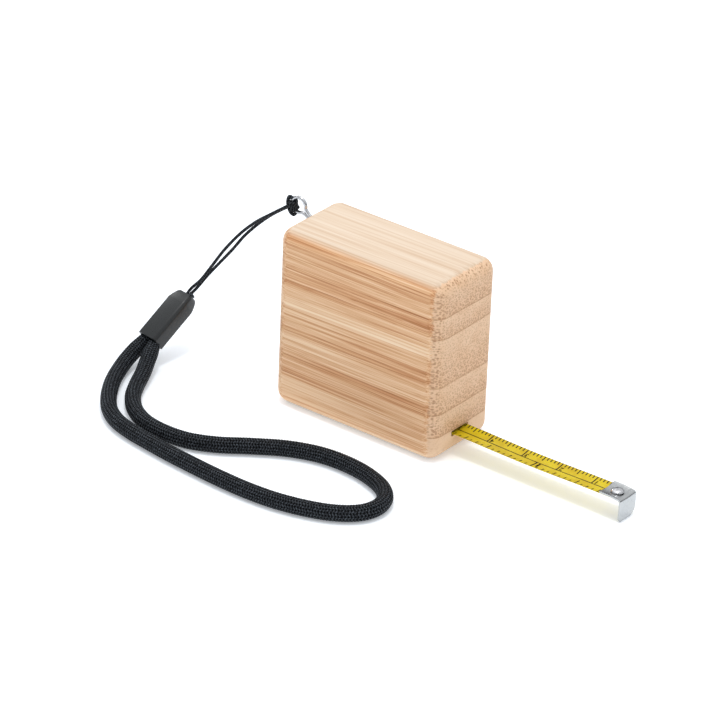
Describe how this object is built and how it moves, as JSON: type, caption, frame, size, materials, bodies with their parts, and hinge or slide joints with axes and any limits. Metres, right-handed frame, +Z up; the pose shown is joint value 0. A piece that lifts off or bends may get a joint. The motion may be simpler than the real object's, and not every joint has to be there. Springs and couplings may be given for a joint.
{
  "type": "pocket tape measure",
  "caption": "Pocket tape measure in a rounded bamboo block, its narrow yellow blade drawn out by a steel hook, with a braided wrist strap on a wire eye.",
  "frame": {"origin": "centre of the flat face that the case stands on", "axes": "+X is the way the blade leaves, +Y points from the front face to the back cover, +Z is up"},
  "size_m": [0.1347, 0.0653, 0.0496],
  "materials": {
    "bamboo": "sanded laminated bamboo with a thin satin lacquer",
    "foam": "soft grey foam",
    "housing_plastic": "black moulded plastic",
    "screw_steel": "zinc plated steel",
    "washer_plastic": "natural nylon",
    "spring_steel": "blued spring steel",
    "reel_plastic": "dark grey moulded plastic",
    "blade_paint": "glossy yellow coating with black scales",
    "hook_steel": "bright nickel plated steel",
    "cord_textile": "black braided polyester",
    "ferrule_plastic": "dark grey satin plastic"
  },
  "bodies": {
    "root": {"case_body": "bamboo", "back_cover": "bamboo", "foam_pad": "foam", "mechanism_cup": "housing_plastic", "mechanism_lid": "housing_plastic", "lid_screws": "screw_steel", "spindle_pin": "screw_steel", "spindle_screw": "screw_steel", "thrust_washer": "washer_plastic", "brake_leaf": "spring_steel", "blade_tail": "blade_paint", "strap_eye": "hook_steel", "cord_knot": "cord_textile", "thin_cord_a": "cord_textile", "thin_cord_b": "cord_textile", "strap_ferrule": "ferrule_plastic", "wrist_cord": "cord_textile"},
    "reel": {"reel_drum": "reel_plastic", "reel_cap": "reel_plastic", "blade_coil": "blade_paint", "power_spring": "spring_steel"},
    "blade": {"blade_front": "blade_paint", "end_hook": "hook_steel", "hook_rivet": "hook_steel"}
  },
  "joints": [
    {"name": "blade_slide", "type": "slide", "parent": "root", "child": "blade", "axis": [1, 0, 0], "range_m": [-0.0422, 0.9515], "deforming": ["blade_tail"]},
    {"name": "reel_spin", "type": "hinge", "parent": "root", "child": "reel", "pos_m": [0, -0.001, 0.024], "axis": [0, -1, 0], "range_deg": [-180, 3900], "deforming": ["power_spring"]}
  ],
  "couplings": [
    {"joint": "reel_spin", "follows": "blade_slide", "rad_per_m": 70.4}
  ]
}
